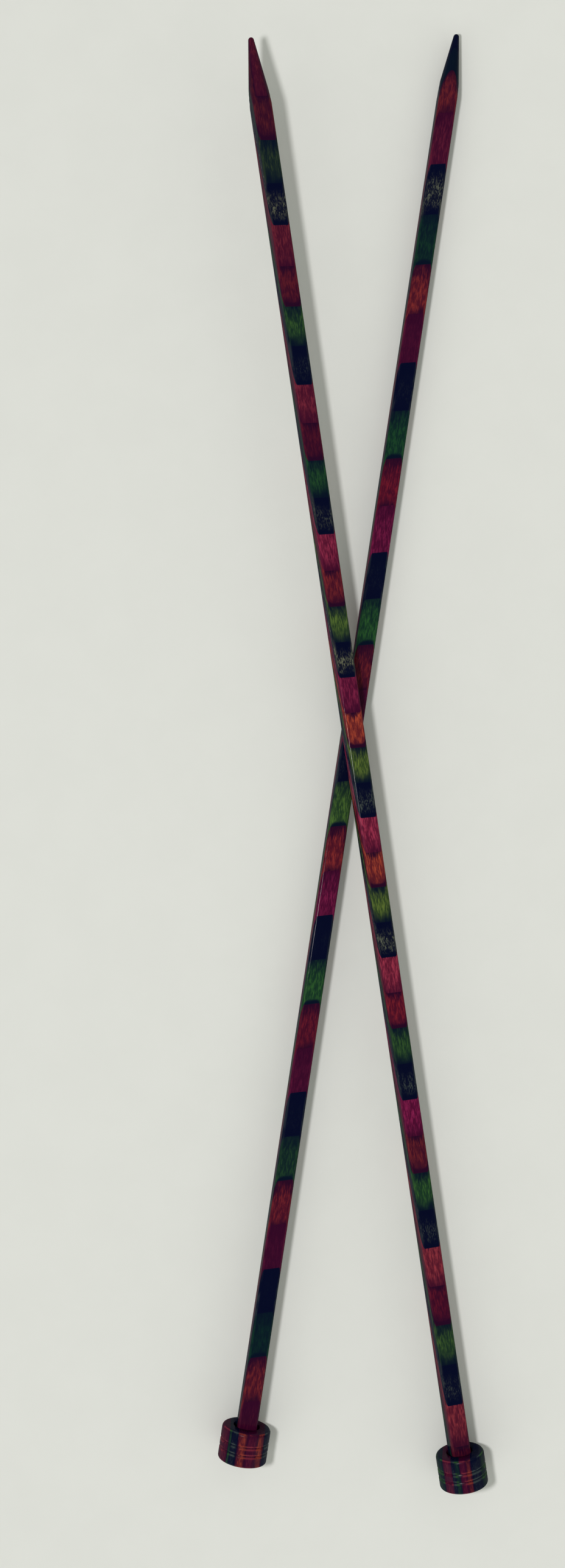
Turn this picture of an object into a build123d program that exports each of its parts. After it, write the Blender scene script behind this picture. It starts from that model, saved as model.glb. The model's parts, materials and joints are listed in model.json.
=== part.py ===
from build123d import *
from itertools import cycle
import math
import os

# A pair of straight knitting needles, crossed as they are laid on a table.
# Each needle is a square wooden shaft with a round conical point and a turned cap glued on its other end.
# Shaft and cap are cut from veneers of dyed birch, bonded face to face. Every veneer is a solid of its own.

# Needle: "station" is the distance from the tip, measured along the axis.
NEEDLE_LENGTH = 350.0
SQUARE = 4.6  # across the flats; the rounded diagonal is the 6 mm gauge
EDGE_RADIUS = 0.6
NOSE_RADIUS = 0.7
POINT_HALF_ANGLE = 8.0

# Cap
CAP_RADIUS = 5.8
CAP_LENGTH = 8.0
FRONT_RIM_RADIUS = 0.85  # rim on the shaft's side
END_RIM_RADIUS = 0.55
GROOVE_PLACES = (3.3, 5.25)  # from the cap's front face
GROOVE_WIDTH = 0.7
GROOVE_DEPTH = 0.35
BORE_RADIUS = 3.1
BORE_DEPTH = 6.0

# Veneers
VENEER = 1.6
# The board they were glued into was slightly bowed. So the band that a veneer shows on the shaft's top face
# is shortest at one station, and grows with the square of the distance from there.
OVER_BANDS = {
    "first": 4.2,
    "dyes": ("magenta", "orange", "green", "navy"),
    "shortest": 8.39,
    "shortest_at": 185.0,
    "growth": 75.6e-6,
    "dip": 1,
    "skew": 0.05,
}
UNDER_BANDS = {
    "first": -33.2,
    "dyes": ("magenta", "navy", "green", "orange"),
    "shortest": 10.5,
    "shortest_at": 308.0,
    "growth": 29.4e-6,
    "dip": -1,
    "skew": -0.26,
}
# The veneers of each cap, from its left side to its right, with their thickness.
OVER_CAP_VENEERS = (
    ("green", 1.75),
    ("magenta", 2.0),
    ("navy", 0.75),
    ("green", 1.2),
    ("magenta", 1.45),
    ("orange", 1.25),
    ("navy", 2.1),
    ("green", 1.1),
)
UNDER_CAP_VENEERS = (
    ("magenta", 1.9),
    ("green", 0.6),
    ("navy", 1.5),
    ("orange", 2.3),
    ("magenta", 2.3),
    ("orange", 1.6),
    ("navy", 1.4),
)
OVER_CAP_LEAN = 20.0
UNDER_CAP_LEAN = 5.0

# How the pair lies. The under needle rests on its cap and on the heel of its point, where the point meets the
# square's lowest edge. The over needle rests on its cap and on the under needle.
HALF_CROSSING = 8.6
UNDER_CROSSING = 174.9  # station of the crossing on each needle
OVER_CROSSING = 167.7
UNDER_ROLL = 2.0
OVER_ROLL = 9.0
CROSSING_GAP = 0.02  # between the highest edge of the under needle there and the lowest of the over one

DYES = ("navy", "green", "orange", "magenta")
SHAFT_LENGTH = NEEDLE_LENGTH - CAP_LENGTH + BORE_DEPTH


def point_station(radius):
    """Where the point's cone is as wide as a radius."""
    angle = math.radians(POINT_HALF_ANGLE)
    joint_radius = NOSE_RADIUS * math.cos(angle)
    joint_station = NOSE_RADIUS * (1 - math.sin(angle))
    return joint_station + (radius - joint_radius) / math.tan(angle)


def point_envelope():
    """A round body with the needle's point, wide enough behind it to hold the whole square shaft."""
    angle = math.radians(POINT_HALF_ANGLE)
    half_way = (math.pi / 2 - angle) / 2
    nose_middle = (NOSE_RADIUS * math.sin(half_way), -NOSE_RADIUS * (1 - math.cos(half_way)))
    nose_end = (NOSE_RADIUS * math.cos(angle), -NOSE_RADIUS * (1 - math.sin(angle)))
    nose = ThreePointArc((0, 0), nose_middle, nose_end)
    wide = SQUARE
    rest = Polyline(nose_end, (wide, -point_station(wide)), (wide, -SHAFT_LENGTH), (0, -SHAFT_LENGTH), (0, 0))
    return revolve(make_face(nose + rest), Axis.Y)


def whole_shaft():
    section = Plane.XZ * RectangleRounded(SQUARE, SQUARE, EDGE_RADIUS)
    return extrude(section, SHAFT_LENGTH) & point_envelope()


def band_length(bands, station):
    """How much of the shaft's top face one veneer shows, measured along the axis."""
    return bands["shortest"] + bands["growth"] * (station - bands["shortest_at"]) ** 2


def glue_plane(bands, station, length):
    """The plane of one glue line. Its normal points to the tip's side."""
    rise = VENEER / length
    normal = (bands["skew"] * rise, rise, bands["dip"] * math.sqrt(1 - rise**2))
    return Plane(origin=(0, -station, SQUARE / 2), z_dir=normal)


def solids_in(shape):
    return list(shape.solids()) if shape else []


def shaft_veneers(bands):
    """The shaft's solids, sorted by dye, cut one after another from the tip's end."""
    by_dye = {dye: [] for dye in DYES}
    station = bands["first"]
    rest = whole_shaft()
    for dye in cycle(bands["dyes"]):
        length = band_length(bands, station)
        station += length
        plane = glue_plane(bands, station, length)
        by_dye[dye] += solids_in(split(rest, plane, keep=Keep.TOP))
        rest = split(rest, plane, keep=Keep.BOTTOM)
        if not solids_in(rest):
            return by_dye


def ring_cutter(station):
    """A ring of triangular section that leaves a V groove."""
    overlap = 0.2
    half_width = GROOVE_WIDTH / 2 * (1 + overlap / GROOVE_DEPTH)
    outline = Polyline(
        (CAP_RADIUS - GROOVE_DEPTH, -station),
        (CAP_RADIUS + overlap, -station + half_width),
        (CAP_RADIUS + overlap, -station - half_width),
        close=True,
    )
    return revolve(make_face(outline), Axis.Y)


def whole_cap():
    front = NEEDLE_LENGTH - CAP_LENGTH
    outline = Rectangle(CAP_RADIUS, CAP_LENGTH, align=(Align.MIN, Align.MAX))
    outline = fillet(outline.vertices().group_by(Axis.X)[-1].sort_by(Axis.Y)[-1], FRONT_RIM_RADIUS)
    outline = fillet(outline.vertices().group_by(Axis.X)[-1].sort_by(Axis.Y)[0], END_RIM_RADIUS)
    cap = revolve(Pos(0, -front) * outline, Axis.Y)
    for place in GROOVE_PLACES:
        cap -= ring_cutter(front + place)
    bore = extrude(Plane.XZ.offset(front) * Circle(BORE_RADIUS), BORE_DEPTH)
    return cap - bore


def cap_veneers(veneers, lean):
    """The cap's solids, sorted by dye. The glue lines run along the axis and lean by an angle about it."""
    by_dye = {dye: [] for dye in DYES}
    across = Vector(math.cos(math.radians(lean)), 0, math.sin(math.radians(lean)))
    rest = whole_cap()
    place = -CAP_RADIUS
    for dye, thickness in veneers[:-1]:
        place += thickness
        plane = Plane(origin=across * place, z_dir=across)
        by_dye[dye] += solids_in(split(rest, plane, keep=Keep.BOTTOM))
        rest = split(rest, plane, keep=Keep.TOP)
    by_dye[veneers[-1][0]] += solids_in(rest)
    return by_dye


def half_height(roll):
    """Half the height of the rounded square when it is rolled by an angle."""
    angle = math.radians(abs(roll))
    corner = SQUARE / 2 - EDGE_RADIUS
    return corner * (math.cos(angle) + math.sin(angle)) + EDGE_RADIUS


def heel_station():
    """Where the under needle's lowest edge runs out into its point."""
    angle = math.radians(abs(UNDER_ROLL))
    sideways = (SQUARE / 2 - EDGE_RADIUS) * (math.cos(angle) - math.sin(angle))
    return point_station(math.hypot(sideways, half_height(UNDER_ROLL)))


def under_slope():
    """The heel of the point and the front rim of the cap touch the table."""
    span = NEEDLE_LENGTH - CAP_LENGTH + FRONT_RIM_RADIUS - heel_station()
    return math.degrees(math.asin((CAP_RADIUS - half_height(UNDER_ROLL)) / span))


def under_height():
    """Height of the under needle's axis at the crossing."""
    rise = math.sin(math.radians(under_slope()))
    return half_height(UNDER_ROLL) + (UNDER_CROSSING - heel_station()) * rise


def over_height():
    return under_height() + half_height(UNDER_ROLL) + half_height(OVER_ROLL) + CROSSING_GAP


def over_slope():
    """The end rim of the cap touches the table."""
    span = NEEDLE_LENGTH - END_RIM_RADIUS - OVER_CROSSING
    return math.degrees(math.asin((over_height() - CAP_RADIUS) / span))


def under_place():
    turn = Rot(Z=-HALF_CROSSING) * Rot(X=-under_slope()) * Rot(Y=UNDER_ROLL)
    return Pos(0, 0, under_height()) * turn * Pos(0, UNDER_CROSSING, 0)


def over_place():
    turn = Rot(Z=HALF_CROSSING) * Rot(X=over_slope()) * Rot(Y=OVER_ROLL)
    return Pos(0, 0, over_height()) * turn * Pos(0, OVER_CROSSING, 0)


def placed(place, by_dye):
    return {dye: [place * solid for solid in solids] for dye, solids in by_dye.items()}


def make_nodes():
    """Every node's solids, with the middle of the pair's underside at the origin."""
    groups = {
        "under_shaft": placed(under_place(), shaft_veneers(UNDER_BANDS)),
        "under_cap": placed(under_place(), cap_veneers(UNDER_CAP_VENEERS, UNDER_CAP_LEAN)),
        "over_shaft": placed(over_place(), shaft_veneers(OVER_BANDS)),
        "over_cap": placed(over_place(), cap_veneers(OVER_CAP_VENEERS, OVER_CAP_LEAN)),
    }
    nodes = {
        f"{part}_{dye}_veneers": solids
        for part, by_dye in groups.items()
        for dye, solids in by_dye.items()
        if solids
    }
    box = Compound([solid for solids in nodes.values() for solid in solids]).bounding_box()
    to_origin = Pos(-box.center().X, -box.center().Y, -box.min.Z)
    return {name: [to_origin * solid for solid in solids] for name, solids in nodes.items()}, to_origin


def main():
    os.makedirs("parts", exist_ok=True)
    nodes, _ = make_nodes()
    for name, solids in nodes.items():
        shape = solids[0] if len(solids) == 1 else Compound(solids)
        export_step(shape, f"parts/{name}.step")


main()
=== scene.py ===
import json
import math
from itertools import cycle

import bmesh
import bpy
from mathutils import Matrix, Vector


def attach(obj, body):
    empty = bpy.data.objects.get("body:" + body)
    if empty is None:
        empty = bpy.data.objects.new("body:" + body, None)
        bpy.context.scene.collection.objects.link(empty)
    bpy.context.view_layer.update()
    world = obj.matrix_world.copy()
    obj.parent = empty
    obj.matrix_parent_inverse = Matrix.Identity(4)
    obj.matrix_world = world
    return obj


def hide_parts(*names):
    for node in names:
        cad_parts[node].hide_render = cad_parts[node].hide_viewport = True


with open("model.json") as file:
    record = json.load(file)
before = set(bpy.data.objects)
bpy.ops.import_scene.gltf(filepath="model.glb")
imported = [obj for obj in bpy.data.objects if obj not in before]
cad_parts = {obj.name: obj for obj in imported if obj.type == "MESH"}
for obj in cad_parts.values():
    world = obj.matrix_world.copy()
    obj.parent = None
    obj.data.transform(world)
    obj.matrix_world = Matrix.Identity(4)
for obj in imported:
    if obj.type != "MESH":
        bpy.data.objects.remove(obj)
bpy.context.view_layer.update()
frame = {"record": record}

# A pair of straight knitting needles of dyed laminated birch, lacquered, crossed on a pale table.
# Each needle is built in its own frame, in millimetres: the tip is at the origin, +Y points on past the tip,
# X runs across and Z comes out of the top face. A "station" is a distance from the tip along the axis, so it
# is -Y.

MM = 0.001
NEEDLE_LENGTH = 350.0

# Shaft
SQUARE = 4.6
EDGE_RADIUS = 0.6
EDGE_CORNER = SQUARE / 2 - EDGE_RADIUS  # middle of each edge's arc, across and up
NOSE_RADIUS = 0.7
POINT_HALF_ANGLE = math.radians(8.0)

# Cap
CAP_RADIUS = 5.8
CAP_LENGTH = 8.0
FRONT_RIM_RADIUS = 0.85
END_RIM_RADIUS = 0.55
GROOVE_PLACES = (3.3, 5.25)  # from the cap's front face
GROOVE_HALF_WIDTH = 0.35
GROOVE_DEPTH = 0.35
BESIDE_LIP = (0.4, 0.18, 0.04)  # where the outline has points outside a groove's lip
LIP_DROP = 0.02  # how far inside and below the lip the next point is
FLOOR_RISE = 0.02  # the groove's floor is a narrow flat, this far above the bottom of its V
FLOOR_HALF_WIDTH = 0.03
BORE_RADIUS = 3.1
BORE_DEPTH = 6.0
BORE_CHAMFER = 0.1
CAP_FRONT = NEEDLE_LENGTH - CAP_LENGTH
SHAFT_LENGTH = CAP_FRONT + BORE_DEPTH

VENEER = 1.6

# Tint and light of each veneer of a dye, from the tip to the cap. Tint runs from the cool shade of the dye to
# the warm one, and light from a veneer that took all the dye to one that shows much bare birch.
OVER_SHADES = {
    "magenta": {
        "tint": (1.0, 0.9, 0.75, 0.45, 0.3, 0.5, 0.6, 0.0, 0.85, 0.9),
        "light": (0.55, 0.62, 0.68, 0.88, 0.72, 1.0, 1.0, 0.78, 0.92, 0.82),
    },
    "orange": {
        "tint": (0.8, 0.45, 0.3, 0.5, 0.9, 0.9, 0.2, 0.6, 0.1, 0.5),
        "light": (0.4, 0.5, 0.4, 0.65, 1.0, 0.95, 0.72, 0.55, 0.5, 0.5),
    },
    "green": {
        "tint": (0.9, 0.45, 0.2, 0.85, 1.0, 1.0, 0.45, 0.35, 0.6, 0.5),
        "light": (0.45, 0.7, 0.6, 0.9, 1.0, 0.97, 0.73, 0.8, 0.75, 0.6),
    },
    "navy": {
        "tint": (0.8, 0.2, 0.5, 0.8, 0.3, 0.6, 0.2, 0.3, 0.3, 0.3),
        "light": (0.78, 0.35, 0.55, 0.92, 0.72, 0.88, 0.6, 0.55, 0.5, 0.4),
    },
}
UNDER_SHADES = {
    "magenta": {
        "tint": (0.4, 0.6, 0.3, 0.05, 0.2, 0.05, 0.2, 0.3, 0.7),
        "light": (0.3, 0.45, 0.3, 0.65, 0.5, 0.65, 0.35, 0.25, 0.3),
    },
    "navy": {
        "tint": (0.5, 0.6, 0.2, 0.1, 0.2, 0.1, 0.1, 0.1, 0.1),
        "light": (0.15, 0.75, 0.2, 0.2, 0.3, 0.15, 0.15, 0.1, 0.1),
    },
    "green": {
        "tint": (0.2, 0.1, 0.1, 0.2, 0.6, 0.25, 0.3, 0.0),
        "light": (0.1, 0.4, 0.6, 0.73, 0.9, 0.77, 0.5, 0.3),
    },
    "orange": {
        "tint": (0.6, 0.6, 0.1, 0.5, 0.5, 0.2, 0.4, 0.6),
        "light": (0.58, 0.72, 0.65, 0.58, 0.77, 0.57, 0.62, 0.62),
    },
}

# "bands" says how long a stretch of the shaft's top face each veneer shows. It is shortest at one station,
# and grows with the square of the distance from there. "dip" is the way the veneers slant, and "skew" how far
# they turn from straight across.
NEEDLES = {
    "over": {
        "roll": 9.0,
        "bands": {
            "first": 4.2,
            "dyes": ("magenta", "orange", "green", "navy"),
            "shortest": 8.39,
            "shortest_at": 185.0,
            "growth": 75.6e-6,
            "dip": 1,
            "skew": 0.05,
        },
        "cap_lean": 20.0,
        "cap_veneers": (
            ("green", 1.75),
            ("magenta", 2.0),
            ("navy", 0.75),
            ("green", 1.2),
            ("magenta", 1.45),
            ("orange", 1.25),
            ("navy", 2.1),
            ("green", 1.1),
        ),
        "cap_light": {"navy": 0.3, "green": 0.34, "orange": 0.52, "magenta": 0.4},
        "shades": OVER_SHADES,
        # Where a veneer's colour rises from dark to light and where it falls again, as depths in the veneer.
        # Depth 0 is its face on the tip's side and depth 1 the other one. The dyes in "lined" end in a thin
        # dark line.
        "lit": {
            "magenta": ((-0.25, 0.05), (0.5, 1.5)),
            "orange": ((-0.1, 0.25), (0.6, 1.35)),
            "green": ((-0.2, 0.45), (0.6, 1.15)),
            "navy": ((0.05, 0.6), (0.6, 1.1)),
        },
        "lined": ("orange", "navy"),
    },
    "under": {
        "roll": 2.0,
        "bands": {
            "first": -33.2,
            "dyes": ("magenta", "navy", "green", "orange"),
            "shortest": 10.5,
            "shortest_at": 308.0,
            "growth": 29.4e-6,
            "dip": -1,
            "skew": -0.26,
        },
        "cap_lean": 5.0,
        "cap_veneers": (
            ("magenta", 1.9),
            ("green", 0.6),
            ("navy", 1.5),
            ("orange", 2.3),
            ("magenta", 2.3),
            ("orange", 1.6),
            ("navy", 1.4),
        ),
        "cap_light": {"navy": 0.3, "green": 0.45, "orange": 0.72, "magenta": 0.38},
        "shades": UNDER_SHADES,
        "lit": {
            "magenta": ((-0.5, 0.6), (0.85, 1.5)),
            "orange": ((-0.15, 0.4), (0.8, 1.15)),
            "green": ((-0.4, 0.5), (0.8, 1.4)),
            "navy": ((0.0, 0.5), (0.65, 1.0)),
        },
        "lined": ("green",),
    },
}
CAP_TINT = {"navy": 0.1, "green": 0.35, "orange": 0.9, "magenta": 0.8}
CAP_LIT = ((-0.1, 0.3), (0.7, 1.1))
SIDE_PAINTED_SHADE = 0.85  # painted shade: the colour of the shaft's side faces is darkened to this share of that of its top and bottom faces
END_GRAIN_AND_BORE_SHADE = 0.3  # the cap's end grain soaks up the most dye; in the bore the same darkening is painted shade in the recess
END_GRAIN_RIM = 0.4  # the outer share of each rim's radius, which is not end grain
BORE_SHADE_MARGIN = 0.2  # what is nearer than this to the bore's wall is darkened as painted shade in the bore
CUPPING = 0.16  # how far a veneer's colours curl at the shaft's long edges, as a share of its depth
CUPPING_POWER = 4  # the curl stays close to the long edges

# Each dye: its shade at the glue lines, its body and its bare streaks, the last two cool and warm.
DYES = {
    "navy": {
        "deep": (0.0002, 0.0016, 0.0172),
        "body": ((0.0025, 0.0055, 0.0180), (0.0070, 0.0080, 0.0180)),
        "streak": ((0.0900, 0.1300, 0.1200), (0.2100, 0.2100, 0.1200)),
    },
    "green": {
        "deep": (0.0008, 0.0046, 0.0170),
        "body": ((0.0060, 0.0520, 0.0165), (0.0280, 0.0540, 0.0150)),
        "streak": ((0.0220, 0.1700, 0.0280), (0.1300, 0.1900, 0.0340)),
    },
    "orange": {
        "deep": (0.0190, 0.0011, 0.0165),
        "body": ((0.1150, 0.0040, 0.0180), (0.1250, 0.0140, 0.0170)),
        "streak": ((0.3700, 0.0150, 0.0320), (0.4200, 0.0700, 0.0300)),
    },
    "magenta": {
        "deep": (0.0300, 0.0009, 0.0180),
        "body": ((0.1100, 0.0040, 0.0360), (0.1050, 0.0105, 0.0200)),
        "streak": ((0.3800, 0.0220, 0.1150), (0.3600, 0.0500, 0.0500)),
    },
}

# How finely the surfaces are divided.
RINGS_ON_NOSE = 8
CONE_STEP = 0.6
CREASE_STEP = 0.15
SHAFT_STEP = 3.0
STEPS_ON_FLAT = 10
STEPS_ON_EDGE = 8
CAP_TURNS = 144
STEPS_ON_RIM = 8
CUT_TOLERANCE = 1e-5
THINNEST = 1e-6  # keeps depth_in from dividing by zero

SHAFT_WEAR = 0.16
CAP_WEAR = 0.42
WEAR_WIDTH = 0.14  # of the rubbed line along each rim and lip of a cap
RIM_MIDDLE = 0.3  # how far in from its corner the middle of a rim's arc is, as a share of its radius


# ---------------------------------------------------------------- shapes

def mesh_from_rings(rings, close_start, close_end):
    """A bmesh of rings of points, each joined to the next, with each end closed on a point in its middle."""
    bm = bmesh.new()
    loops = [[bm.verts.new(point) for point in ring] for ring in rings]
    count = len(rings[0])
    for here, there in zip(loops, loops[1:]):
        for i in range(count):
            j = (i + 1) % count
            bm.faces.new((here[i], here[j], there[j], there[i]))
    close_ring(bm, loops[0], close_start)
    close_ring(bm, loops[-1], close_end)
    for face in bm.faces:
        face.smooth = True
    bmesh.ops.recalc_face_normals(bm, faces=bm.faces)
    return bm


def close_ring(bm, loop, middle):
    centre = bm.verts.new(middle)
    for i, vertex in enumerate(loop):
        bm.faces.new((vertex, loop[(i + 1) % len(loop)], centre))


def square_outline():
    """Points of the rounded square, as (across, up)."""
    flat = math.atan2(EDGE_CORNER, SQUARE / 2)
    points = []
    for quarter in range(4):
        turn = Matrix.Rotation(quarter * math.pi / 2, 2)
        for i in range(STEPS_ON_FLAT):
            angle = flat * (2 * i / STEPS_ON_FLAT - 1)
            points.append(turn @ Vector((SQUARE / 2, SQUARE / 2 * math.tan(angle))))
        for i in range(STEPS_ON_EDGE):
            angle = math.pi / 2 * i / STEPS_ON_EDGE
            arc = Vector((math.cos(angle), math.sin(angle))) * EDGE_RADIUS
            points.append(turn @ (Vector((EDGE_CORNER, EDGE_CORNER)) + arc))
    return points


def point_station(radius):
    """Where the point's cone is as wide as a radius."""
    joint_radius = NOSE_RADIUS * math.cos(POINT_HALF_ANGLE)
    joint_station = NOSE_RADIUS * (1 - math.sin(POINT_HALF_ANGLE))
    return joint_station + (radius - joint_radius) / math.tan(POINT_HALF_ANGLE)


def point_radius(station):
    """How wide the point is at a station: a round nose, then a cone."""
    joint_station = NOSE_RADIUS * (1 - math.sin(POINT_HALF_ANGLE))
    if station < joint_station:
        return math.sqrt(NOSE_RADIUS**2 - (NOSE_RADIUS - station) ** 2)
    joint_radius = NOSE_RADIUS * math.cos(POINT_HALF_ANGLE)
    return joint_radius + (station - joint_station) * math.tan(POINT_HALF_ANGLE)


def even_steps(start, stop, step):
    count = math.ceil((stop - start) / step)
    return [start + (stop - start) * i / count for i in range(count)]


def shaft_stations():
    """Close together on the nose, and where the flats run out into the cone."""
    nose_end = math.pi / 2 - POINT_HALF_ANGLE
    turns = [nose_end * (i + 1) / RINGS_ON_NOSE for i in range(RINGS_ON_NOSE - 1)]
    nose = [NOSE_RADIUS * (1 - math.cos(turn)) for turn in turns]
    crease_start = point_station(SQUARE / 2)
    crease_end = point_station(math.sqrt(2) * EDGE_CORNER + EDGE_RADIUS)
    cone = even_steps(NOSE_RADIUS * (1 - math.sin(POINT_HALF_ANGLE)), crease_start, CONE_STEP)
    crease = even_steps(crease_start, crease_end, CREASE_STEP)
    straight = even_steps(crease_end, SHAFT_LENGTH, SHAFT_STEP)
    return nose + cone + crease + straight + [SHAFT_LENGTH]


def whole_shaft():
    outline = square_outline()
    rings = []
    for station in shaft_stations():
        reach = point_radius(station)
        ring = [point * min(1.0, reach / point.length) for point in outline]
        rings.append([(point.x, -station, point.y) for point in ring])
    return mesh_from_rings(rings, (0, 0, 0), (0, -SHAFT_LENGTH, 0))


def rim(radius, front, facing):
    """A quarter arc round a rim: (radius, distance from the cap's front face) pairs, from front to back."""
    centre = Vector((CAP_RADIUS - radius, front))
    points = []
    for i in range(STEPS_ON_RIM + 1):
        angle = math.pi / 2 * i / STEPS_ON_RIM
        if facing == "front":
            points.append(centre + radius * Vector((math.sin(angle), -math.cos(angle))))
        else:
            points.append(centre + radius * Vector((math.cos(angle), math.sin(angle))))
    return points


def groove(place):
    """One groove's outline. The points beside it let the wear of its lips fade out over a short way."""
    half = [Vector((CAP_RADIUS, GROOVE_HALF_WIDTH + distance)) for distance in BESIDE_LIP]
    half.append(Vector((CAP_RADIUS - LIP_DROP, GROOVE_HALF_WIDTH - LIP_DROP)))
    half.append(Vector((CAP_RADIUS - GROOVE_DEPTH + FLOOR_RISE, FLOOR_HALF_WIDTH)))
    front = [Vector((point.x, place - point.y)) for point in half]
    back = [Vector((point.x, place + point.y)) for point in reversed(half)]
    return front + back


def cap_profile():
    """The turned outline, from the floor of the bore round the outside to the end face."""
    profile = [
        Vector((BORE_RADIUS, BORE_DEPTH)),
        Vector((BORE_RADIUS, BORE_CHAMFER)),
        Vector((BORE_RADIUS + BORE_CHAMFER, 0)),
    ]
    profile += rim(FRONT_RIM_RADIUS, FRONT_RIM_RADIUS, "front")
    for place in GROOVE_PLACES:
        profile += groove(place)
    return profile + rim(END_RIM_RADIUS, CAP_LENGTH - END_RIM_RADIUS, "end")


def whole_cap():
    rings = []
    for point in cap_profile():
        ring = []
        for i in range(CAP_TURNS):
            angle = 2 * math.pi * i / CAP_TURNS
            ring.append((point.x * math.cos(angle), -CAP_FRONT - point.y, point.x * math.sin(angle)))
        rings.append(ring)
    return mesh_from_rings(rings, (0, -CAP_FRONT - BORE_DEPTH, 0), (0, -NEEDLE_LENGTH, 0))


# ---------------------------------------------------------------- veneers

def cut(bm, point, normal):
    """Keeps the part behind a plane and closes it. The new face is flat and has sharp edges."""
    geometry = bm.verts[:] + bm.edges[:] + bm.faces[:]
    made = bmesh.ops.bisect_plane(
        bm, geom=geometry, dist=CUT_TOLERANCE, plane_co=point, plane_no=normal, clear_outer=True
    )
    edges = [item for item in made["geom_cut"] if isinstance(item, bmesh.types.BMEdge)]
    if not edges:
        return
    faces = bmesh.ops.edgeloop_fill(bm, edges=edges)["faces"]
    for face in faces:
        face.smooth = False
    for edge in edges:
        edge.smooth = False


def split_off(rest, point, normal):
    """The part of rest in front of a plane. What is behind the plane stays in rest."""
    part = rest.copy()
    cut(part, point, -normal)
    cut(rest, point, normal)
    return part


def band_length(bands, station):
    return bands["shortest"] + bands["growth"] * (station - bands["shortest_at"]) ** 2


def glue_plane(bands, station, length):
    """A point and the normal, towards the tip's side, of one glue line in the shaft."""
    rise = VENEER / length
    normal = Vector((bands["skew"] * rise, rise, bands["dip"] * math.sqrt(1 - rise**2)))
    return Vector((0, -station, SQUARE / 2)), normal.normalized()


def shaft_veneers(needle):
    """(dye, solid, (point, normal) of its glue plane on the tip's side, and of the one on the cap's side)."""
    bands = needle["bands"]
    station = bands["first"]
    before = glue_plane(bands, station, band_length(bands, station))
    rest = whole_shaft()
    for dye in cycle(bands["dyes"]):
        length = band_length(bands, station)
        station += length
        after = glue_plane(bands, station, length)
        solid = split_off(rest, *after)
        if solid.faces:
            yield dye, solid, before, after
        if not rest.faces:
            return
        before = after


def cap_veneers(needle):
    """The same for a cap, whose glue planes run along the axis, from its left side to its right."""
    lean = math.radians(needle["cap_lean"])
    across = Vector((math.cos(lean), 0, math.sin(lean)))
    rest = whole_cap()
    place = -CAP_RADIUS
    for dye, thickness in needle["cap_veneers"]:
        before = (across * place, -across)
        place += thickness
        after = (across * place, -across)
        solid = split_off(rest, *after)
        if solid.faces:
            yield dye, solid, before, after


def depth_in(point, before, after):
    """0 at a veneer's first glue plane, 1 at its last."""
    past_first = abs((point - before[0]).dot(before[1]))
    past_last = abs((point - after[0]).dot(after[1]))
    return past_first / max(past_first + past_last, THINNEST)


def edge_share(point):
    """0 along the middle of the shaft's faces and 1 along its long edges."""
    return min(1.0, (abs(point.x) / (SQUARE / 2)) ** CUPPING_POWER)


def shaft_wear(point):
    """Highest along the middle of the square's rounded edges, where the dye is rubbed."""
    along_edge = max(0.0, min(abs(point.x), abs(point.z)) - EDGE_CORNER) / (EDGE_RADIUS * math.sqrt(0.5))
    return SHAFT_WEAR * along_edge


def cap_wear(point):
    """Highest along the cap's rims and the lips of its grooves."""
    radius = math.hypot(point.x, point.z)
    place = -point.y - CAP_FRONT
    front_inset = RIM_MIDDLE * FRONT_RIM_RADIUS
    end_inset = RIM_MIDDLE * END_RIM_RADIUS
    lips = [(CAP_RADIUS - front_inset, front_inset), (CAP_RADIUS - end_inset, CAP_LENGTH - end_inset)]
    for groove_place in GROOVE_PLACES:
        lips.append((CAP_RADIUS, groove_place - GROOVE_HALF_WIDTH))
        lips.append((CAP_RADIUS, groove_place + GROOVE_HALF_WIDTH))
    nearest = min(math.hypot(radius - lip_radius, place - lip_place) for lip_radius, lip_place in lips)
    return CAP_WEAR * math.exp(-((nearest / WEAR_WIDTH) ** 2))


def shaft_painted_side_shade(point):
    """1 on the top and bottom faces, and less on the side faces, as painted shade."""
    round_edge = math.atan2(abs(point.x) - EDGE_CORNER, abs(point.z) - EDGE_CORNER) / (math.pi / 2)
    return 1.0 - (1.0 - SIDE_PAINTED_SHADE) * min(1.0, max(0.0, round_edge))


def cap_end_grain_and_bore_shade(point):
    """Less than 1 on the end grain, the cap's front face and its end face, and in its bore, where it is
    painted shade in the recess.
    """
    radius = math.hypot(point.x, point.z)
    place = -point.y - CAP_FRONT
    on_front = place < FRONT_RIM_RADIUS and radius < CAP_RADIUS - END_GRAIN_RIM * FRONT_RIM_RADIUS
    on_end = place > CAP_LENGTH - END_RIM_RADIUS and radius < CAP_RADIUS - END_GRAIN_RIM * END_RIM_RADIUS
    # painted shade in the bore: its wall and floor are darkened like the end grain
    in_bore = radius < BORE_RADIUS + BORE_SHADE_MARGIN
    return END_GRAIN_AND_BORE_SHADE if on_front or on_end or in_bore else 1.0


# ---------------------------------------------------------------- pieces

def needle_matrix(name):
    """From a needle's own millimetres to the row frame, read from the mount on its cap's end."""
    mounts = {mount["name"]: mount for mount in frame["record"]["mounts"]}
    end = mounts[f"{name}_cap_end"]
    to_end = Vector(end["axis"]).normalized()
    tip = Vector(end["pos_m"]) - to_end * NEEDLE_LENGTH * MM
    level = to_end.cross(Vector((0, 0, -1))).normalized()
    turned = Matrix((level, -to_end, level.cross(-to_end))).transposed().to_4x4()
    roll = Matrix.Rotation(math.radians(NEEDLES[name]["roll"]), 4, "Y")
    return Matrix.Translation(tip) @ turned @ roll @ Matrix.Scale(MM, 4)


def set_attribute(mesh, name, values):
    attribute = mesh.attributes.new(name, "FLOAT", "POINT")
    attribute.data.foreach_set("value", values)


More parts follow.
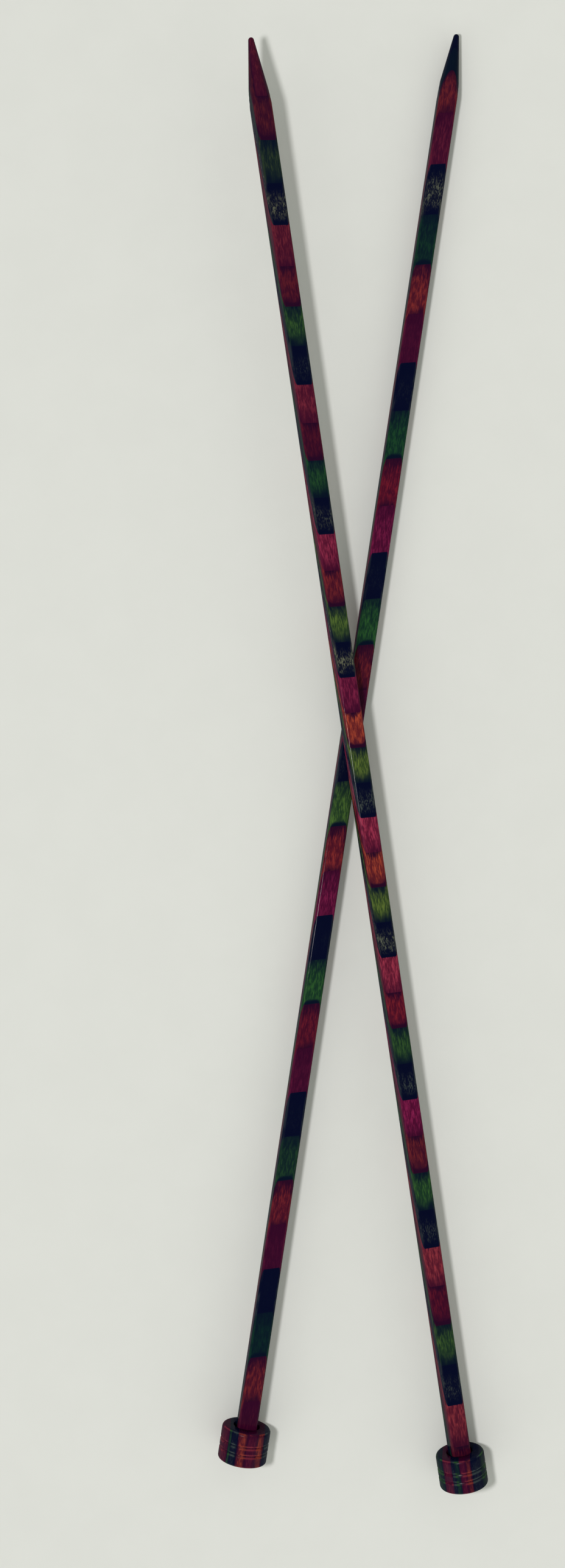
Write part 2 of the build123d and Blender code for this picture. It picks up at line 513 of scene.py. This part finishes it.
def solid_object(bm, planes, shade, light, wear, grain_and_painted_shade, cupping=0.0):
    """One veneer as an object, with what its material reads stored on its points."""
    mesh = bpy.data.meshes.new("veneer")
    bmesh.ops.recalc_face_normals(bm, faces=bm.faces)
    bm.to_mesh(mesh)
    bm.free()
    points = [vertex.co.copy() for vertex in mesh.vertices]
    depths = [depth_in(point, *planes) + cupping * edge_share(point) for point in points]
    fibre = mesh.attributes.new("fibre", "FLOAT_VECTOR", "POINT")
    fibre.data.foreach_set("vector", [value for point in points for value in point])
    set_attribute(mesh, "depth", depths)
    set_attribute(mesh, "wear", [wear(point) for point in points])
    for name, value in shade.items():
        set_attribute(mesh, name, [value] * len(points))
    # the light stored here is darkened by painted shade on the shaft's side faces and in the cap's bore, and
    # by the cap's end grain
    set_attribute(mesh, "light", [light * grain_and_painted_shade(point) for point in points])
    made = bpy.data.objects.new("veneer", mesh)
    bpy.context.scene.collection.objects.link(made)
    return made


def joined(objects, name):
    """Veneers of one dye as one piece. Each stays a closed solid in it."""
    with bpy.context.temp_override(active_object=objects[0], selected_editable_objects=objects):
        bpy.ops.object.join()
    objects[0].name = name
    objects[0].data.name = name
    return objects[0]


def lit_shade(lit, lined):
    """What the material reads of where a veneer's colour rises and falls."""
    (rise_from, rise_to), (fall_from, fall_to) = lit
    return {
        "rise_from": rise_from,
        "rise_to": rise_to,
        "fall_from": fall_from,
        "fall_to": fall_to,
        "lined": float(lined),
    }


def shaft_solids(needle):
    """Objects of a needle's shaft by dye."""
    by_dye = {}
    cupping = CUPPING * needle["bands"]["dip"]
    for dye, solid, *planes in shaft_veneers(needle):
        found = by_dye.setdefault(dye, [])
        shades = needle["shades"][dye]
        shade = lit_shade(needle["lit"][dye], dye in needle["lined"])
        number = len(found) % len(shades["tint"])
        shade["tint"] = shades["tint"][number]
        light = shades["light"][number]
        found.append(solid_object(solid, planes, shade, light, shaft_wear, shaft_painted_side_shade, cupping))
    return by_dye


def cap_solids(needle):
    """Objects of a needle's cap by dye."""
    by_dye = {}
    for dye, solid, *planes in cap_veneers(needle):
        shade = lit_shade(CAP_LIT, False)
        shade["tint"] = CAP_TINT[dye]
        made = solid_object(solid, planes, shade, needle["cap_light"][dye], cap_wear, cap_end_grain_and_bore_shade)
        by_dye.setdefault(dye, []).append(made)
    return by_dye


def make_needle(name, materials):
    to_row = needle_matrix(name)
    for part, by_dye in (("shaft", shaft_solids(NEEDLES[name])), ("cap", cap_solids(NEEDLES[name]))):
        for dye, objects in by_dye.items():
            piece = joined(objects, f"{name}_{part}_{dye}_wood")
            piece.data.transform(to_row)
            piece.data.materials.append(materials[part, dye])
            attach(piece, f"{name}_needle")
            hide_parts(f"{name}_{part}_{dye}_veneers")


# ---------------------------------------------------------------- materials

# Noises in the wood: the size of their grains (across, along, up) in millimetres, then detail and roughness.
NOISES = {
    "streaks": ((0.26, 1.9, 0.26), 5.0, 0.6),
    "clumps": ((0.7, 2.4, 0.7), 2.0, 0.55),
    "patches": ((1.3, 4.0, 1.3), 2.0, 0.55),
    "pores": ((0.1, 1.2, 0.1), 2.0, 0.5),
    "waves": ((0.9, 2.5, 0.9), 2.0, 0.55),
}
FLECKS = ((0.19, 0.8, 0.19), 3.0, 0.6)
NOISE_MIDDLE = 0.5

# How far noises shift the depth at which a veneer's colour rises, falls and ends in its dark line.
RAGGED_BY_STREAKS = 0.35
RAGGED_BY_PATCHES = 0.4
LINE_RAGGED = 0.12
LINE_RAMP = (0.87, 0.96)  # depths at which the dark line starts and is full
SHOWN_POWER = 2.0  # above 1, so that the dark ends of a veneer reach further in

# Each ramp is on a noise: where what it shows starts, and where it is full.
CLUMPING = 0.5  # how far the clumps shift the noise of the streaks and flecks
STREAK_RAMP = (0.40, 0.70)
FLECK_RAMP = (0.47, 0.68)
PORE_RAMP = (0.5, 0.32)
PORE_DARKNESS = 0.4
RUBBED_RAMP = (0.35, 0.6)

WOOD_ROUGHNESS = 0.35
PORE_ROUGHNESS = 0.25
GRAIN_BUMP = {"Strength": 0.25, "Distance": 0.04 * MM}
COAT_WEIGHT = 0.14
COAT_ROUGHNESS = {"shaft": 0.12, "cap": 0.25}
COAT_IOR = 1.5
COAT_BUMP = {"Strength": 0.35, "Distance": 0.05 * MM}

TABLE_MOTTLE = ((14.0 * MM, 14.0 * MM, 14.0 * MM), 5.0, 0.6)
MOTTLE_RAMP = (0.3, 0.7)
TABLE_COLOURS = ((0.755, 0.762, 0.728), (0.767, 0.774, 0.740))
TABLE_ROUGHNESS = 0.75


class Nodes:
    """Short ways to add nodes to a node tree and to join them."""

    def __init__(self, tree):
        self.tree = tree
        tree.nodes.clear()

    def fill(self, socket, value):
        """Links a socket to another one, or gives it a plain value."""
        if isinstance(value, bpy.types.NodeSocket):
            self.tree.links.new(value, socket)
        else:
            socket.default_value = value

    def add(self, kind, settings=None, inputs=None):
        node = self.tree.nodes.new(kind)
        for name, value in (settings or {}).items():
            setattr(node, name, value)
        for name, value in (inputs or {}).items():
            self.fill(node.inputs[name], value)
        return node

    def attribute(self, name, output="Fac"):
        return self.add("ShaderNodeAttribute", {"attribute_name": name}).outputs[output]

    def math(self, operation, first, second, clamp=False):
        settings = {"operation": operation, "use_clamp": clamp}
        return self.add("ShaderNodeMath", settings, {0: first, 1: second}).outputs[0]

    def swayed(self, value, noise, amount):
        """A value shifted by a noise, by up to half an amount either way."""
        around_zero = self.math("SUBTRACT", noise, NOISE_MIDDLE)
        return self.math("ADD", value, self.math("MULTIPLY", around_zero, amount))

    def smooth_step(self, value, start, stop):
        settings = {"interpolation_type": "SMOOTHSTEP"}
        inputs = {"Value": value, "From Min": start, "From Max": stop}
        return self.add("ShaderNodeMapRange", settings, inputs).outputs["Result"]

    def noise(self, coordinates, size, detail, roughness):
        """Noise whose grains have a size (across, along, up), in the unit of the coordinates."""
        scale = tuple(1 / value for value in size)
        mapping = {"Vector": coordinates, "Scale": scale}
        mapped = self.add("ShaderNodeMapping", {"vector_type": "POINT"}, mapping)
        inputs = {"Vector": mapped.outputs[0], "Scale": 1.0, "Detail": detail, "Roughness": roughness}
        return self.add("ShaderNodeTexNoise", None, inputs).outputs["Fac"]

    def mix(self, factor, first, second):
        """The colour first where the factor is 0, and second where it is 1."""
        node = self.add("ShaderNodeMix", {"data_type": "RGBA"})
        for number, value in ((0, factor), (6, first), (7, second)):
            self.fill(node.inputs[number], (*value, 1.0) if isinstance(value, tuple) else value)
        return node.outputs[2]


def dye_shown(n, noises):
    """How light a veneer is: 0 at its dark glue lines, and up to its own light between them."""
    depth = n.attribute("depth")
    ragged = n.swayed(depth, noises["streaks"], RAGGED_BY_STREAKS)
    ragged = n.swayed(ragged, noises["patches"], RAGGED_BY_PATCHES)
    rise = n.smooth_step(ragged, n.attribute("rise_from"), n.attribute("rise_to"))
    fall = n.smooth_step(ragged, n.attribute("fall_to"), n.attribute("fall_from"))
    near_end = n.swayed(depth, noises["streaks"], LINE_RAGGED)
    line = n.math("MULTIPLY", n.smooth_step(near_end, *LINE_RAMP), n.attribute("lined"))
    # the light attribute carries painted shade on the shaft's side faces and in the cap's bore
    shown = n.math("MULTIPLY", n.math("MULTIPLY", rise, fall), n.attribute("light"), clamp=True)
    return n.math("POWER", n.math("MULTIPLY", shown, n.math("SUBTRACT", 1.0, line)), SHOWN_POWER)


def bare_streaks(n, fibre, noises, dye):
    """Where the dye leaves the birch nearly bare: in streaks, or in small flecks in the navy veneers."""
    if dye == "navy":
        return n.smooth_step(n.swayed(n.noise(fibre, *FLECKS), noises["clumps"], CLUMPING), *FLECK_RAMP)
    return n.smooth_step(n.swayed(noises["streaks"], noises["clumps"], CLUMPING), *STREAK_RAMP)


def birch_colour(n, fibre, noises, dye):
    """The wood's colour, with dark pores, and rubbed nearly bare where the wear is."""
    colours = DYES[dye]
    tint = n.attribute("tint")
    undyed = n.mix(tint, *colours["streak"])
    streaks = bare_streaks(n, fibre, noises, dye)
    wood = n.mix(streaks, n.mix(tint, *colours["body"]), undyed)
    colour = n.mix(dye_shown(n, noises), colours["deep"], wood)
    pores = n.math("MULTIPLY", n.smooth_step(noises["pores"], *PORE_RAMP), PORE_DARKNESS)
    colour = n.mix(pores, colour, colours["deep"])
    rubbed = n.math("MULTIPLY", n.attribute("wear"), n.smooth_step(noises["patches"], *RUBBED_RAMP))
    return n.mix(rubbed, colour, undyed)


def dyed_birch(part, dye):
    """Birch veneer, dyed through: darkest at its glue lines, with bare streaks along the grain, lacquered."""
    material = bpy.data.materials.new(f"{part}_{dye}_dyed_birch")
    material.use_nodes = True
    n = Nodes(material.node_tree)
    fibre = n.attribute("fibre", "Vector")
    noises = {name: n.noise(fibre, *values) for name, values in NOISES.items()}
    grain = n.add("ShaderNodeBump", None, {**GRAIN_BUMP, "Height": noises["streaks"]})
    lacquer = n.add("ShaderNodeBump", None, {**COAT_BUMP, "Height": noises["waves"]})
    pore_roughness = n.math("MULTIPLY", noises["pores"], PORE_ROUGHNESS)
    shader = n.add("ShaderNodeBsdfPrincipled", None, {
        "Base Color": birch_colour(n, fibre, noises, dye),
        "Roughness": n.math("ADD", pore_roughness, WOOD_ROUGHNESS),
        "Normal": grain.outputs[0],
        "Coat Weight": COAT_WEIGHT,
        "Coat Roughness": COAT_ROUGHNESS[part],
        "Coat IOR": COAT_IOR,
        "Coat Normal": lacquer.outputs[0],
        "Specular IOR Level": 0.0,  # only the coat is glossy
    })
    n.add("ShaderNodeOutputMaterial", None, {"Surface": shader.outputs[0]})
    return material


def table_top():
    """Matt pale paint with a faint mottle."""
    material = bpy.data.materials.new("pale_table")
    material.use_nodes = True
    n = Nodes(material.node_tree)
    place = n.add("ShaderNodeTexCoord").outputs["Object"]
    mottle = n.smooth_step(n.noise(place, *TABLE_MOTTLE), *MOTTLE_RAMP)
    colour = n.mix(mottle, *TABLE_COLOURS)
    shader = n.add("ShaderNodeBsdfPrincipled", None, {"Base Color": colour, "Roughness": TABLE_ROUGHNESS})
    n.add("ShaderNodeOutputMaterial", None, {"Surface": shader.outputs[0]})
    return material


# ---------------------------------------------------------------- studio

# Places and sizes are in metres, in the frame that the needles lie in.
TABLE_SIZE = 30.0
KEY_PLACE = Vector((-0.145, -0.031, 0.400))
KEY_RADIUS = 0.024
KEY_POWER = 17.5
KEY_COLOUR = (1.0, 0.985, 0.99)
SURROUNDINGS = (0.36, 0.37, 0.34)
BRIGHT_SIDE = (1.28, 1.32, 1.22)  # beyond the caps
BRIGHT_RAMP = (0.0, -0.6)  # along Y, on a direction of length 1
OVERHEAD = (0.36, 0.366, 0.345)
OVERHEAD_RAMP = (0.50, 0.74)  # along Z

CAMERA_PLACE = (-0.0406, -0.0161, 0.3905)
CAMERA_TURN = (1.160, -3.469, 0.107)  # degrees about X, Y and Z, from looking straight down
CAMERA_LENS = 36.79  # millimetres, like the sensor
CAMERA_SENSOR = 36.0


def make_table():
    half = TABLE_SIZE / 2
    mesh = bpy.data.meshes.new("table")
    corners = [(-half, -half, 0), (half, -half, 0), (half, half, 0), (-half, half, 0)]
    mesh.from_pydata(corners, [], [(0, 1, 2, 3)])
    table = bpy.data.objects.new("table", mesh)
    mesh.materials.append(table_top())
    bpy.context.scene.collection.objects.link(table)


def make_key_light():
    """A small soft light up on the left, stronger the further its rays go, so the table is evenly lit."""
    data = bpy.data.lights.new("key", "POINT")
    data.shadow_soft_size = KEY_RADIUS
    data.energy = KEY_POWER
    data.color = KEY_COLOUR
    data.use_nodes = True
    n = Nodes(data.node_tree)
    distance = n.add("ShaderNodeLightPath").outputs["Ray Length"]
    relative = n.math("DIVIDE", distance, KEY_PLACE.z)
    strength = n.add("ShaderNodeLightFalloff", None, {"Strength": relative}).outputs["Constant"]
    emission = n.add("ShaderNodeEmission", None, {"Strength": strength})
    n.add("ShaderNodeOutputLight", None, {"Surface": emission.outputs[0]})
    light = bpy.data.objects.new("key", data)
    light.location = KEY_PLACE
    light.visible_camera = False
    bpy.context.scene.collection.objects.link(light)


def make_surroundings():
    """Bright beyond the caps only, so that the top faces keep their depth of colour."""
    world = bpy.data.worlds.new("studio")
    world.use_nodes = True
    n = Nodes(world.node_tree)
    direction = n.add("ShaderNodeTexCoord").outputs["Generated"]
    direction = n.add("ShaderNodeSeparateXYZ", None, {0: direction})
    overhead = n.smooth_step(direction.outputs["Z"], *OVERHEAD_RAMP)
    bright = n.smooth_step(direction.outputs["Y"], *BRIGHT_RAMP)
    colour = n.mix(overhead, n.mix(bright, SURROUNDINGS, BRIGHT_SIDE), OVERHEAD)
    background = n.add("ShaderNodeBackground", None, {"Color": colour, "Strength": 1.0})
    n.add("ShaderNodeOutputWorld", None, {"Surface": background.outputs[0]})
    bpy.context.scene.world = world


def make_camera():
    data = bpy.data.cameras.new("camera")
    data.lens = CAMERA_LENS
    data.sensor_width = CAMERA_SENSOR
    camera = bpy.data.objects.new("camera", data)
    camera.location = CAMERA_PLACE
    camera.rotation_euler = [math.radians(angle) for angle in CAMERA_TURN]
    bpy.context.scene.collection.objects.link(camera)
    bpy.context.scene.camera = camera


bpy.context.scene.view_settings.view_transform = "Standard"
make_camera()
make_table()
make_key_light()
make_surroundings()
dyed = {(part, dye): dyed_birch(part, dye) for part in COAT_ROUGHNESS for dye in DYES}
for needle_name in NEEDLES:
    make_needle(needle_name, dyed)
